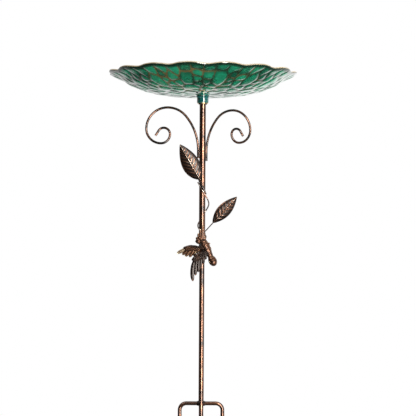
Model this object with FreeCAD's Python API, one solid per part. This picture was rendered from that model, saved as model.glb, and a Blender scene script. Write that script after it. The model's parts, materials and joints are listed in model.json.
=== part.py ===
"""Garden bird feeder: a scalloped glass dish screwed to a steel stake with scrolls, leaves and a bird.

Millimetres, +Z up. The origin is on the pole's axis at ground level, with the tines below it.
The front, where the bird faces, is -Y.
"""

import FreeCAD
import Part
import math
import os

V = FreeCAD.Vector
UP = V(0, 0, 1)

# Glass dish
RIM_HEIGHT = 495.5  # of the lip's underside above the ground
DISH_RADIUS = 139.0
DISH_RISE = 30.9  # from the flat foot to the rim
BOWL_POWER = 1.7  # how flat the middle stays before the wall climbs
LIP_START = 0.78  # share of the radius where the lip begins to turn out
LIP_BUMP = 1.6
FOOT_SHARE = 0.1  # share of the radius that is the flat foot
GLASS = 4.0
RIM_GLASS = 3.2
SCALLOPS = 16
SCALLOP_OUT = 2.1
SCALLOP_UP = 1.25
SCALLOP_START = 0.7
SCALLOP_TURN = 14.3  # degrees from +X to a crest
POINTS_PER_SCALLOP = 8
RING_SHARES = (FOOT_SHARE, 0.16, 0.25, 0.35, 0.45, 0.54, 0.62, 0.7, 0.77, 0.83, 0.88, 0.925, 0.965, 1.0)
NOSE_OUT = 0.7  # the rim's roundness, as shares of its thickness
NOSE_UP = 0.3

# Threaded seat under the dish
PAD_RADIUS = 9.4
PAD_THICKNESS = 0.6
SOCKET_RADIUS = 8.8
SOCKET_HEIGHT = 10.2
FLARE_RADIUS = 9.8
FLARE_HEIGHT = 2.4
SOCKET_ROOF = 1.6
SOCKET_CHAMFER = 0.8
INSERT_RADIUS = 5.0
INSERT_LIP_RADIUS = 8.0
INSERT_LIP = 0.8
STUD_RADIUS = 3.0  # M6
THREAD_CLEARANCE = 0.06
STUD_ENGAGED = 9.0
STUD_BURIED = 16.0
STUD_CHAMFER = 0.6
WASHER_RADIUS = 6.4
WASHER_CLEARANCE = 0.3
WASHER_THICKNESS = 1.2

# Pole
UPPER_RADIUS = 4.8
UPPER_BORE = 4.05
UPPER_END = 219.5  # height of the upper tube's open lower end
MIDDLE_RADIUS = 4.0
MIDDLE_BORE = 3.3
MIDDLE_END = 140.0
MIDDLE_OVERLAP = 40.0
BEAD_HEIGHT = 1.6
BEAD_RADIUS = 4.6
BEAD_CHAMFER = 0.3
SPIGOT_RADIUS = 3.25
SPIGOT_LENGTH = 32.0
SPIGOT_CHAMFER = 1.0
PLUG_LENGTH = 20.0

# Stake
ROD_RADIUS = 4.0
TINE_RADIUS = 3.5
TINE_LENGTH = 150.0
POINT_LENGTH = 30.0
SIDE_RADIUS = 3.0
SIDE_OFFSET = 32.0
SIDE_BEND = 10.0
SIDE_DEPTH = 132.0
SIDE_POINT = 26.0
POINT_FLAT = 0.6
SIDE_LEVEL = 3.5  # height of the side tines' level run
FORK_WELD_WIDE = 5.2  # radii of the weld at the stake and at its outer end
FORK_WELD_THIN = 3.1
FORK_WELD_REACH = 4.9

# Scrolls
SCROLL_WIRE = 1.8
LEFT_FOOT = 371.0
RIGHT_FOOT = 367.0
LEFT_TOP = 447.0  # heights of the middle line at the scrolls' tops
RIGHT_TOP = 445.2
SCROLL_LEAD = ((80, 40), (35.5, 50))  # jig radius, degrees of turn
SCROLL_CURL = ((32, 90), (21.8, 90), (13.8, 90), (9.5, 90), (8.8, 58))
SCROLL_TIP = 9.2
RIGHT_SCALE = 0.91
RIGHT_SWING = 27.0  # degrees that the right scroll stands back
WELD_RADIUS = 1.0
WELD_LENGTH = 11.0
WELD_SPREAD = 19.0  # degrees either side of the scroll's foot

# Leaves and vine
LEAF_THICKNESS = 1.2
LEAF_ARCH = 0.22  # height of the arch as a share of its width
LEAF_STATIONS = 11
LEAF_EDGE = 0.6  # half width at the base and tip
RIGHT_LEAF_BASE = V(15.8, -9.5, 274)
LEFT_LEAF = (  # base, tip, facing, each side's (widest, skew towards the base, fullness), curl
    V(-3.6, -9, 339),
    V(-33.5, -14, 391),
    V(-0.15, -1, 0.1),
    ((12.8, 0.85, 0.8), (14.2, 0.78, 0.85)),
    3,
)
RIGHT_LEAF = (
    RIGHT_LEAF_BASE,
    V(52, -14, 313),
    V(0.12, -1, -0.15),
    ((9.8, 0.95, 0.85), (10.6, 0.9, 0.85)),
    -3,
)
VINE_WIRE = 1.0
VINE_STATIONS = (  # degrees round the pole from +X, height, distance from the pole's axis
    (-165, 335, 7.0),
    (-128, 329.5, 6.2),
    (-92, 324, 6.2),
    (-58, 316.5, 6.9),
    (-24, 308.5, 9.6),
    (4, 302, 10.4),
    (34, 295.5, 9.0),
    (66, 288, 6.6),
    (100, 281.5, 6.2),
    (135, 276, 6.2),
    (165, 272, 6.5),
    (195, 268, 6.5),
    (230, 264, 6.2),
    (265, 260.5, 6.2),
    (300, 257.5, 6.2),
    (335, 255, 6.4),
    (370, 253, 6.4),
    (405, 251, 6.2),
    (440, 249.5, 6.2),
)
BEND_SHARE = 0.45  # of the shorter run, taken up by each bend of the wire
STEM_WIRE = 1.5
STEM_GAP = 0.3  # of paint and weld between the stem and the tube
LEFT_STEM_STATIONS = ((-150, 342), (-132, 337.5), (-110, 333), (-86, 328), (-62, 322.5), (-38, 317))
THIN_STEM = 0.8
RIGHT_STEM_FOOT = V(4.2, -5.9, 261)

# Bird
BODY_TAIL = V(0.0, -8.2, 250)
BODY_HEAD = V(16.0, -14.5, 218)
HEAD_RADIUS = 6.3
HEAD_HALF_LENGTH = 8.3
TORSO = ((0, 3.4), (0.2, 5.6), (0.42, 6.0), (0.66, 4.6), (0.82, 4.0), (1.0, 4.2))  # share, radius
BEAK_WAY = V(0.04, -1, -0.1)
BEAK_LENGTH = 17.0
BEAK_ROOT = 1.5
BEAK_TIP = 0.45
BEAK_SUNK = 1.2
FEATHER_THICKNESS = 1.3
SEAT_CLEARANCE = 0.6  # between the bird and the narrower middle tube, which slides past it
UPPER_WING_BOW = (V(-12, -13.5, 234), V(1, -0.12, 0.25), 30)  # crown, line it bows about, radius
LOWER_WING_BOW = (V(-8, -18, 212), V(-0.3, 0.12, -1), 26)
TAIL_BOW = (V(-1, -10.2, 254), V(0.12, 0.02, 1), 22)
UPPER_WING = (  # outlines as (x, z) seen from the front, from the shoulder round the feather tips
    (4.8, 238.2),
    (-1.8, 238.8),
    (-6.8, 239.2),
    (-13, 240.8),
    (-19.3, 240.6),
    (-24, 239.3),
    (-28.5, 236.9),
    (-33.6, 233.3),
    (-37.6, 228.4),
    (-34.2, 227.8),
    (-30.8, 229.4),
    (-28.8, 226.6),
    (-26.4, 227.2),
    (-25.2, 223.8),
    (-22.6, 225.4),
    (-19.0, 222.9),
    (-13.4, 225.0),
    (-2.0, 235.6),
    (4.8, 234.4),
)
LOWER_WING = (
    (11.0, 231.2),
    (4.4, 232.6),
    (-3.0, 229.4),
    (-9.0, 225.6),
    (-13.2, 222.6),
    (-15.3, 215.8),
    (-16.2, 206.6),
    (-15.7, 194.2),
    (-13.6, 186.8),
    (-11.8, 191.2),
    (-11.2, 195.4),
    (-7.9, 197.2),
    (-6.4, 202.2),
    (-3.6, 202.4),
    (-2.6, 209.8),
    (0.4, 215.8),
    (6.0, 222.6),
    (11.0, 225.4),
)
TAIL = (
    (1.6, 271.5),
    (-1.2, 266.2),
    (-4.0, 261.0),
    (-7.0, 256.2),
    (-9.3, 251.2),
    (-8.9, 247.2),
    (-5.4, 241.5),
    (1.5, 243.0),
    (6.6, 248.5),
    (4.4, 254.0),
    (3.0, 260.0),
    (2.6, 266.4),
)


def cylinder(radius, bottom, top):
    return Part.makeCylinder(radius, top - bottom, V(0, 0, bottom))


def ring(outer, inner, bottom, top):
    return cylinder(outer, bottom, top).cut(cylinder(inner, bottom, top))


def revolved(points):
    """A solid of revolution about Z from (radius, height) corners."""
    outline = Part.makePolygon([V(r, 0, z) for r, z in [*points, points[0]]])
    return Part.Face(outline).revolve(V(0, 0, 0), UP, 360)


def largest(shape):
    return max(shape.Solids, key=lambda piece: piece.Volume)


def rod_along(edges, radius):
    """A round rod that follows tangent edges."""
    path = Part.Wire(edges)
    first = edges[0]
    start = first.valueAt(first.FirstParameter)
    along = first.tangentAt(first.FirstParameter)
    section = Part.Wire(Part.makeCircle(radius, start, along))
    return Part.Solid(path.makePipeShell([section], True, True))


def rounded_edges(points):
    """Straight runs between the points, joined by tangent arcs."""
    edges = []
    last = points[0]
    for before, corner, after in zip(points, points[1:], points[2:]):
        back = (before - corner).normalize()
        ahead = (after - corner).normalize()
        cut = BEND_SHARE * min((before - corner).Length, (after - corner).Length)
        start = corner + back * cut
        end = corner + ahead * cut
        half_turn = (math.pi - back.getAngle(ahead)) / 2
        bend = cut / math.tan(half_turn)
        inward = (back + ahead).normalize()
        middle = corner + inward * (bend / math.cos(half_turn) - bend)
        edges.append(Part.LineSegment(last, start).toShape())
        edges.append(Part.Arc(start, middle, end).toShape())
        last = end
    edges.append(Part.LineSegment(last, points[-1]).toShape())
    return edges


# ---------------------------------------------------------------- dish


def bowl_rise(share):
    """Height of the dish's underside above its foot, at a share of the rim radius."""
    rise = DISH_RISE * (1 - math.cos(math.pi / 2 * share**BOWL_POWER))
    if share > LIP_START:
        rise += LIP_BUMP * math.sin(math.pi * (share - LIP_START) / (1 - LIP_START)) ** 2
    return rise


def bowl_slope(share):
    step = 0.001
    return math.atan2(bowl_rise(share) - bowl_rise(share - step), step * DISH_RADIUS)


def scallop(turn):
    """Broad lobes with narrow valleys between them; turn is measured from a crest."""
    return math.cos(SCALLOPS * turn) - 0.2 * math.cos(2 * SCALLOPS * turn)


def dish_ring(radius, height, share):
    """One closed ring of control points, waved by the scallops where it nears the rim."""
    grow = max(0.0, (share - SCALLOP_START) / (1 - SCALLOP_START))
    wave = grow * grow * (3 - 2 * grow)
    count = SCALLOPS * POINTS_PER_SCALLOP
    points = []
    for k in range(count):
        turn = 2 * math.pi * k / count
        angle = turn + math.radians(SCALLOP_TURN)
        out = radius + SCALLOP_OUT * wave * scallop(turn)
        up = height + SCALLOP_UP * wave * scallop(turn)
        points.append(V(out * math.cos(angle), out * math.sin(angle), up))
    return points


def make_dish():
    """One smooth skin from the foot out under the bowl, over the rounded rim and back to the middle."""
    foot_height = RIM_HEIGHT - DISH_RISE
    under = []
    top = []
    for share in RING_SHARES:
        height = foot_height + bowl_rise(share) - bowl_rise(FOOT_SHARE)
        radius = share * DISH_RADIUS
        slope = bowl_slope(share) if share > FOOT_SHARE else 0.0
        thick = GLASS + (RIM_GLASS - GLASS) * share**4
        under.append((radius, height, share))
        top.append((radius - thick * math.sin(slope), height + thick * math.cos(slope), share))
    low, high = under[-1], top[-1]
    nose = [(r + NOSE_OUT * RIM_GLASS, z + NOSE_UP * RIM_GLASS, share) for r, z, share in (low, high)]
    rings = [dish_ring(*station) for station in [*under, *nose, *reversed(top)]]
    across = len(rings)
    around = len(rings[0])
    skin = Part.BSplineSurface()
    skin.buildFromPolesMultsKnots(
        [[rings[j][k] for j in range(across)] for k in range(around)],
        [1] * (around + 1),
        [4, *[1] * (across - 4), 4],
        list(range(around + 1)),
        list(range(across - 2)),
        True,
        False,
        3,
        3,
    )
    wall = skin.toShape()
    ends = [Part.Face(Part.Wire(skin.vIso(v).toShape())) for v in (0, across - 3)]
    shell = Part.makeShell([wall, *ends])
    shell.sewShape()
    dish = Part.Solid(Part.Shell(shell.Faces))
    return dish if dish.Volume > 0 else dish.reversed()


def make_dish_seat():
    """The pad of adhesive, the socket, its threaded insert and the washer, from the glass down."""
    glass = RIM_HEIGHT - DISH_RISE
    socket_top = glass - PAD_THICKNESS
    socket_bottom = socket_top - SOCKET_HEIGHT
    bore_roof = socket_top - SOCKET_ROOF
    socket = revolved(
        [
            (0, socket_top),
            (FLARE_RADIUS, socket_top),
            (FLARE_RADIUS, socket_top - FLARE_HEIGHT / 2),
            (SOCKET_RADIUS, socket_top - FLARE_HEIGHT),
            (SOCKET_RADIUS, socket_bottom + SOCKET_CHAMFER),
            (SOCKET_RADIUS - SOCKET_CHAMFER, socket_bottom),
            (INSERT_RADIUS, socket_bottom),
            (INSERT_RADIUS, bore_roof),
            (0, bore_roof),
        ]
    )
    insert = ring(INSERT_RADIUS, STUD_RADIUS + THREAD_CLEARANCE, socket_bottom, bore_roof)
    lip_bottom = socket_bottom - INSERT_LIP
    lip = ring(INSERT_LIP_RADIUS, STUD_RADIUS + THREAD_CLEARANCE, lip_bottom, socket_bottom)
    washer_bottom = lip_bottom - WASHER_THICKNESS
    return {
        "adhesive_pad": cylinder(PAD_RADIUS, socket_top, glass),
        "dish_socket": socket,
        "thread_insert": insert.fuse(lip).removeSplitter(),
        "seat_washer": ring(WASHER_RADIUS, STUD_RADIUS + WASHER_CLEARANCE, washer_bottom, lip_bottom),
    }


# ---------------------------------------------------------------- pole and stake


def pole_top():
    return RIM_HEIGHT - DISH_RISE - PAD_THICKNESS - SOCKET_HEIGHT - INSERT_LIP - WASHER_THICKNESS


def make_pole():
    top = pole_top()
    upper = ring(UPPER_RADIUS, UPPER_BORE, UPPER_END, top)
    plug = ring(UPPER_BORE, STUD_RADIUS, top - PLUG_LENGTH, top)
    stud_top = top + WASHER_THICKNESS + STUD_ENGAGED
    stud = revolved(
        [
            (0, top - STUD_BURIED),
            (STUD_RADIUS, top - STUD_BURIED),
            (STUD_RADIUS, stud_top - STUD_CHAMFER),
            (STUD_RADIUS - STUD_CHAMFER, stud_top),
            (0, stud_top),
        ]
    )
    middle = revolved(
        [
            (MIDDLE_BORE, MIDDLE_END),
            (MIDDLE_RADIUS, MIDDLE_END),
            (MIDDLE_RADIUS, UPPER_END - BEAD_HEIGHT),
            (BEAD_RADIUS, UPPER_END - BEAD_HEIGHT + BEAD_CHAMFER),
            (BEAD_RADIUS, UPPER_END),
            (MIDDLE_RADIUS, UPPER_END),
            (MIDDLE_RADIUS, UPPER_END + MIDDLE_OVERLAP),
            (MIDDLE_BORE, UPPER_END + MIDDLE_OVERLAP),
        ]
    )
    return {
        "upper_tube": upper,
        "top_plug": plug,
        "top_stud": stud,
        "middle_tube": middle,
    }


def make_stake_rod():
    return revolved(
        [
            (0, -TINE_LENGTH - POINT_LENGTH),
            (POINT_FLAT, -TINE_LENGTH - POINT_LENGTH),
            (TINE_RADIUS, -TINE_LENGTH),
            (TINE_RADIUS, 0),
            (ROD_RADIUS, 0),
            (ROD_RADIUS, MIDDLE_END),
            (SPIGOT_RADIUS, MIDDLE_END),
            (SPIGOT_RADIUS, MIDDLE_END + SPIGOT_LENGTH - SPIGOT_CHAMFER),
            (SPIGOT_RADIUS - SPIGOT_CHAMFER, MIDDLE_END + SPIGOT_LENGTH),
            (0, MIDDLE_END + SPIGOT_LENGTH),
        ]
    )


def make_side_tine(side):
    """A bent rod, butted to the stake at ground level and turned down into a point."""
    diagonal = SIDE_BEND * math.sqrt(0.5)
    centre = V(side * (SIDE_OFFSET - SIDE_BEND), 0, SIDE_LEVEL - SIDE_BEND)
    bend_start = centre + UP * SIDE_BEND
    bend_middle = centre + V(side * diagonal, 0, diagonal)
    bend_end = centre + V(side * SIDE_BEND, 0, 0)
    foot = V(side * SIDE_OFFSET, 0, -SIDE_DEPTH)
    edges = [
        Part.LineSegment(V(side, 0, SIDE_LEVEL), bend_start).toShape(),
        Part.Arc(bend_start, bend_middle, bend_end).toShape(),
        Part.LineSegment(bend_end, foot).toShape(),
    ]
    tine = rod_along(edges, SIDE_RADIUS)
    point = Part.makeCone(SIDE_RADIUS, POINT_FLAT, SIDE_POINT, foot, V(0, 0, -1))
    return tine.fuse(point).removeSplitter().cut(cylinder(ROD_RADIUS, -1, MIDDLE_END))


def make_fork_welds(stake, tines):
    """A fillet of weld round each side tine where it meets the stake."""
    beads = []
    for side in (-1, 1):
        root = V(side * SIDE_RADIUS / 2, 0, SIDE_LEVEL)
        bead = Part.makeCone(FORK_WELD_WIDE, FORK_WELD_THIN, FORK_WELD_REACH, root, V(side, 0, 0))
        for other in [stake, *tines, cylinder(SIDE_OFFSET, -SIDE_OFFSET, 0)]:
            bead = bead.cut(other)
        beads.append(bead)
    return Part.makeCompound(beads)


# ---------------------------------------------------------------- scrolls


def make_scroll(foot, top, scale, facing):
    """A scroll of round wire, bent on round jigs in the plane that stands out from the pole."""
    (first, lean), (second, _) = SCROLL_LEAD
    turned = math.sin(math.radians(lean))
    reach = UPPER_RADIUS + SCROLL_WIRE
    corner = V(reach, 0, top - first * turned - second * (1 - turned))
    edges = [Part.LineSegment(V(reach, 0, foot), corner).toShape()]
    heading = math.pi / 2
    bends = [*SCROLL_LEAD, *((radius * scale, turn) for radius, turn in SCROLL_CURL)]
    for radius, turn in bends:
        centre = corner + V(math.sin(heading), 0, -math.cos(heading)) * radius
        points = [corner]
        for part in (0.5, 1.0):
            angle = heading - math.radians(turn) * part
            points.append(centre - V(math.sin(angle), 0, -math.cos(angle)) * radius)
        edges.append(Part.Arc(*points).toShape())
        heading -= math.radians(turn)
        corner = points[-1]
    tip = corner + V(math.cos(heading), 0, math.sin(heading)) * (SCROLL_TIP * scale)
    edges.append(Part.LineSegment(corner, tip).toShape())
    scroll = rod_along(edges, SCROLL_WIRE)
    scroll.rotate(V(0, 0, 0), UP, facing)
    return scroll


def make_scroll_welds(tube, scrolls):
    """Two beads in the grooves between each scroll's foot and the tube."""
    beads = []
    for scroll, facing, foot in zip(scrolls, (180.0, RIGHT_SWING), (LEFT_FOOT, RIGHT_FOOT)):
        for groove in (-1, 1):
            angle = math.radians(facing + groove * WELD_SPREAD)
            reach = UPPER_RADIUS + WELD_RADIUS - 0.1
            base = V(reach * math.cos(angle), reach * math.sin(angle), foot + 1)
            bead = Part.makeCylinder(WELD_RADIUS, WELD_LENGTH, base)
            beads.append(bead.cut(tube).cut(scroll))
    return Part.makeCompound(beads)


# ---------------------------------------------------------------- leaves and vine


def blade(length, half_widths, curl):
    """A thin arched blade along +X: half widths are (front edge, back edge) at even stations."""
    sections = []
    last = len(half_widths) - 1
    for k, (front, back) in enumerate(half_widths):
        share = k / last
        x = length * share
        lift = curl * share * share
        crown = LEAF_ARCH * (front + back) / 2 + 0.05
        middle = (back - front) / 2
        upper = [V(x, -front, lift), V(x, middle, lift + crown), V(x, back, lift)]
        lower = [point - UP * LEAF_THICKNESS for point in upper]
        sections.append(
            Part.Wire(
                [
                    Part.Arc(*upper).toShape(),
                    Part.LineSegment(upper[2], lower[2]).toShape(),
                    Part.Arc(lower[2], lower[1], lower[0]).toShape(),
                    Part.LineSegment(lower[0], upper[0]).toShape(),
                ]
            )
        )
    return Part.makeLoft(sections, True, False)


def placed(shape, base, tip, facing):
    """Turns a shape made along +X so that it runs from base towards tip with its face towards facing."""
    along = (tip - base).normalize()
    across = facing.cross(along).normalize()
    normal = along.cross(across)
    shape = shape.copy()
    shape.Placement = FreeCAD.Placement(base, FreeCAD.Rotation(along, across, normal, "XYZ"))
    return shape


def leaf_half(share, widest, skew, fullness):
    """Half width of one side of a pointed leaf, at a share of its length from the base."""
    if share in (0, 1):
        return LEAF_EDGE
    return max(LEAF_EDGE, widest * math.sin(math.pi * share**skew) ** fullness)


def make_leaf(base, tip, facing, sides, curl):
    shares = [k / (LEAF_STATIONS - 1) for k in range(LEAF_STATIONS)]
    widths = [tuple(leaf_half(share, *side) for side in sides) for share in shares]
    shape = blade((tip - base).Length, widths, curl)
    return placed(shape, base, tip, facing)


def on_pole(degrees, height, reach):
    angle = math.radians(degrees)
    return V(reach * math.cos(angle), reach * math.sin(angle), height)


def make_foliage():
    vine_points = [on_pole(*station) for station in VINE_STATIONS]
    stem_reach = UPPER_RADIUS + STEM_WIRE + STEM_GAP
    stem_points = [on_pole(degrees, height, stem_reach) for degrees, height in LEFT_STEM_STATIONS]
    vine = rod_along(rounded_edges(vine_points), VINE_WIRE)
    left_stem = rod_along(rounded_edges(stem_points), STEM_WIRE)
    left_leaf = make_leaf(*LEFT_LEAF)
    right_leaf = make_leaf(*RIGHT_LEAF)
    right_stem = rod_along([Part.LineSegment(RIGHT_STEM_FOOT, RIGHT_LEAF_BASE).toShape()], THIN_STEM)
    return {
        "vine_wire": largest(vine.cut(left_stem)),
        "leaf_stem_left": largest(left_stem.cut(left_leaf)),
        "leaf_left": left_leaf,
        "leaf_stem_right": largest(right_stem.cut(vine).cut(right_leaf)),
        "leaf_right": right_leaf,
    }


# ---------------------------------------------------------------- bird


def pressed_plate(outline, crown, lean, bend_radius):
    """A thin plate with the (x, z) outline, bowed forward about a line through crown that leans in depth."""
    deep = bend_radius
    corners = [V(x, crown.y - deep, z) for x, z in [*outline, outline[0]]]
    prism = Part.Face(Part.makePolygon(corners)).extrude(V(0, 2 * deep, 0))
    axis = V(lean).normalize()
    long = 5 * bend_radius
    start = crown + V(0, bend_radius, 0) - axis * (long / 2)
    bow = Part.makeCylinder(bend_radius, long, start, axis)
    bow = bow.cut(Part.makeCylinder(bend_radius - FEATHER_THICKNESS, long, start, axis))
    return largest(prism.common(bow))


def make_bird_body():
    """A torso turned from its stations, joined to an egg-shaped head."""
    reach = (BODY_HEAD - BODY_TAIL).Length
    curve = Part.BSplineCurve()
    curve.interpolate([V(share * reach, radius, 0) for share, radius in TORSO])
    start = V(0, 0, 0)
    end = V(reach, 0, 0)
    edges = [
        Part.LineSegment(start, curve.StartPoint).toShape(),
        curve.toShape(),
        Part.LineSegment(curve.EndPoint, end).toShape(),
        Part.LineSegment(end, start).toShape(),
    ]
    torso = Part.Face(Part.Wire(edges)).revolve(start, V(1, 0, 0), 360)
    nose = V(reach + HEAD_HALF_LENGTH, 0, 0)
    nape = V(reach - HEAD_HALF_LENGTH, 0, 0)
    ellipse = Part.Ellipse(nose, V(reach, HEAD_RADIUS, 0), end)
    half = [Part.Arc(ellipse, 0, math.pi).toShape(), Part.LineSegment(nape, nose).toShape()]
    head = Part.Face(Part.Wire(half)).revolve(start, V(1, 0, 0), 360)
    return placed(torso.fuse(head), BODY_TAIL, BODY_HEAD, V(0, -1, 0))


def make_bird(vine):
    around_upper = cylinder(UPPER_RADIUS, UPPER_END, BODY_TAIL.z + TAIL_BOW[2])
    around_middle = cylinder(UPPER_RADIUS + SEAT_CLEARANCE, MIDDLE_END, UPPER_END)
    pole = around_upper.fuse(around_middle)
    body = largest(make_bird_body().cut(pole).cut(vine))
    way = V(BEAK_WAY).normalize()
    beak_root = BODY_HEAD + way * (HEAD_RADIUS - BEAK_SUNK)
    beak = Part.makeCone(BEAK_ROOT, BEAK_TIP, BEAK_LENGTH, beak_root, way)
    lower_wing = largest(pressed_plate(LOWER_WING, *LOWER_WING_BOW).cut(body))
    upper_wing = pressed_plate(UPPER_WING, *UPPER_WING_BOW).cut(body).cut(lower_wing)
    tail = pressed_plate(TAIL, *TAIL_BOW).cut(body).cut(vine)
    return {
        "bird_body": body,
        "bird_beak": beak.cut(body),
        "bird_tail": largest(tail.cut(pole)),
        "bird_wing_upper": largest(upper_wing.cut(pole)),
        "bird_wing_lower": lower_wing,
    }


def main():
    os.makedirs("parts", exist_ok=True)
    nodes = {"dish": make_dish()}
    nodes.update(make_dish_seat())
    nodes.update(make_pole())
    nodes["stake_rod"] = make_stake_rod()
    nodes["side_tine_left"] = make_side_tine(-1)
    nodes["side_tine_right"] = make_side_tine(1)
    tines = [nodes["side_tine_left"], nodes["side_tine_right"]]
    nodes["fork_welds"] = make_fork_welds(nodes["stake_rod"], tines)
    nodes["scroll_left"] = make_scroll(LEFT_FOOT, LEFT_TOP, 1.0, 180.0)
    nodes["scroll_right"] = make_scroll(RIGHT_FOOT, RIGHT_TOP, RIGHT_SCALE, RIGHT_SWING)
    scrolls = [nodes["scroll_left"], nodes["scroll_right"]]
    nodes["scroll_welds"] = make_scroll_welds(nodes["upper_tube"], scrolls)
    nodes.update(make_foliage())
    nodes.update(make_bird(nodes["vine_wire"]))
    for name, shape in nodes.items():
        bad = not shape.isValid() or not shape.Solids
        print(f"{name}: {len(shape.Solids)} solid(s), {shape.Volume:.0f} mm3{' INVALID' if bad else ''}")
        shape.exportStep(f"parts/{name}.step")


main()
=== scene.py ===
"""Looks for a garden bird feeder.

A scalloped glass dish stands on an antique bronze stake with scrolls, leaves and a bird.
"""

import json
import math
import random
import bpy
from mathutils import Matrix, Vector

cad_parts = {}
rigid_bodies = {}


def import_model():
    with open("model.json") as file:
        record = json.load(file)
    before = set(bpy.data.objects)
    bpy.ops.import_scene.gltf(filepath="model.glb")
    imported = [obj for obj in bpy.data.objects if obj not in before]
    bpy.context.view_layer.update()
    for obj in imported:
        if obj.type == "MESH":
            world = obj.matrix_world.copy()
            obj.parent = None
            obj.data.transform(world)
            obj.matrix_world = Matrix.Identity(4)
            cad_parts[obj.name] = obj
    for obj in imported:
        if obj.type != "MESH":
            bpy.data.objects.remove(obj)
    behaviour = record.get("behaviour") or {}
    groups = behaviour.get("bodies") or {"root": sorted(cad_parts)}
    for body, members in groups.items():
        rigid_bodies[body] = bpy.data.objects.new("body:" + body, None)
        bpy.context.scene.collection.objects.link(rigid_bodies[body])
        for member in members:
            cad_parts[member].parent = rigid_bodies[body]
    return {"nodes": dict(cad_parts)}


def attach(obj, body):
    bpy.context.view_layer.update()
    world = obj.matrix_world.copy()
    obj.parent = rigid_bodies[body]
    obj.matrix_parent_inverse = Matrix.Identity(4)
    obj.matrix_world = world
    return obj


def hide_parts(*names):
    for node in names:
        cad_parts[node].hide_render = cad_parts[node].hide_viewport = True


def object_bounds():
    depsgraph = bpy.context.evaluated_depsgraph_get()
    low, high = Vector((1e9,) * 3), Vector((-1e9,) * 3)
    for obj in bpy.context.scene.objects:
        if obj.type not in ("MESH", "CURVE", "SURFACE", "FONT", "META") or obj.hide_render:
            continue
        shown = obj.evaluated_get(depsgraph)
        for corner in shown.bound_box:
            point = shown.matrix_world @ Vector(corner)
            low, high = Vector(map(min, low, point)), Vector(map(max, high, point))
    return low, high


bl_info = {
    "name": "Scalloped Glass Bird Feeder",
    "version": (1, 0, 0),
    "blender": (4, 5, 0),
    "location": "View3D > Sidebar > Feeder",
    "description": "Builds the dish, leaves, bird and finishes of a garden bird feeder on its frame",
    "category": "Add Mesh",
}

import bmesh
import bpy
import numpy as np
from bpy.props import FloatProperty, FloatVectorProperty, IntProperty, PointerProperty
from mathutils import Matrix, Vector

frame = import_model()
CAD_BOX = [list(corner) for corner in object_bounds()]

MM = 0.001
FRONT = Vector((0, -1, 0))

# The dish's own sizes, in millimetres, which follow its solid.
LIP_UNDER = 495.5
DISH_RADIUS = 139.0
DISH_RISE = 30.9
BOWL_POWER = 1.7
LIP_START = 0.78
LIP_BUMP = 1.6
GLASS = 4.0
RIM_GLASS = 3.2
SCALLOP_OUT = 1.9
SCALLOP_UP = 1.1
SCALLOP_START = 0.7
SCALLOP_TURN = math.radians(14.3)
PAD_RADIUS = 10.0
CORNER = 0.5  # how softly the grooves round their corners
PILLOW = 3.2  # width of a cell's rounded edge, in half widths of its groove
UNDER_STEPS = 100
INSIDE_STEPS = 34
LIP_STEPS = 8
DISH_STEPS = 608
WELD_DISTANCE = 1e-6

# Finish of the metal: ranges of the wear level over which each layer comes through.
EVEN_GRAIN = (1.0, 1.0, 1.0)
COPPER_RANGE = (0.42, 0.6)
GOLD_RANGE = (0.62, 0.8)
PIT_RANGE = (0.64, 0.78)
METAL_COAT_ROUGHNESS = 0.12
LEAF_SILVER = (0.62, 0.55, 0.47)
CAST_LOOK = {"grain": EVEN_GRAIN, "raised": "ridge", "bump": 0.015, "satin": 0.14}

# Camera and floor, in metres and degrees.
CAMERA_PLACE = (0.0087, -1.723, 0.2965)
CAMERA_LENS = 99.4
CAMERA_ROLL = -0.33
FLOOR_RADIUS = 0.8
FLOOR_DROP = 0.001
FLOOR_FADE = (0.45, 0.78)


# ---------------------------------------------------------------- settings


def colour(name, description, value):
    return FloatVectorProperty(
        name=name, description=description, default=value, size=3, min=0.0, max=1.0, subtype="COLOR"
    )


class FeederSizes(bpy.types.PropertyGroup):
    """Sizes that change the look of the feeder without changing its frame."""

    scallops: IntProperty(name="Scallops", description="Lobes round the rim", default=16, min=6, max=32)
    cell_relief: FloatProperty(
        name="Cell relief", description="Height of a cell above its groove", default=1.0 * MM, unit="LENGTH"
    )
    groove: FloatProperty(
        name="Groove", description="Half width of the painted groove", default=0.65 * MM, unit="LENGTH"
    )
    vein_height: FloatProperty(
        name="Vein height", description="Height of a leaf's midrib", default=1.1 * MM, unit="LENGTH"
    )
    feather: FloatProperty(
        name="Feather", description="Thickness of a single feather", default=0.8 * MM, unit="LENGTH"
    )


class FeederColours(bpy.types.PropertyGroup):
    """Colours of the feeder's finishes."""

    glass_deep: colour("Deep green", "Glass in the thick of a cell", (0.003, 0.055, 0.028))
    glass_light: colour("Light green", "Glass where the coating is thin", (0.01, 0.25, 0.125))
    groove_brown: colour("Groove", "Paint in the grooves between cells", (0.13, 0.085, 0.03))
    rim_gold: colour("Rim", "Rubbed edge of the rim", (0.46, 0.36, 0.21))
    bronze_dark: colour("Dark bronze", "Antique finish in the hollows", (0.014, 0.007, 0.005))
    bronze_copper: colour("Copper", "Antique finish where it is rubbed", (0.2, 0.09, 0.05))
    bronze_gold: colour("Gold", "Highest spots of the antique finish", (0.72, 0.57, 0.38))
    socket_teal: colour("Teal", "Enamel of the socket", (0.003, 0.11, 0.1))
    brass: colour("Brass", "Threaded insert", (0.72, 0.52, 0.24))
    floor: colour("Floor", "Studio floor", (0.86, 0.86, 0.85))


def sizes():
    return bpy.context.scene.feeder_sizes


def colours():
    return bpy.context.scene.feeder_colours


# ---------------------------------------------------------------- mesh helpers


def make_piece(name, mesh, material, body, replaced):
    """Turns a mesh into a smooth-shaded piece that rides on a body and stands for CAD nodes."""
    for face in mesh.polygons:
        face.use_smooth = True
    mesh.materials.append(material)
    piece = bpy.data.objects.new(name, mesh)
    bpy.context.scene.collection.objects.link(piece)
    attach(piece, body)
    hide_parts(*replaced)
    return piece


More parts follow.
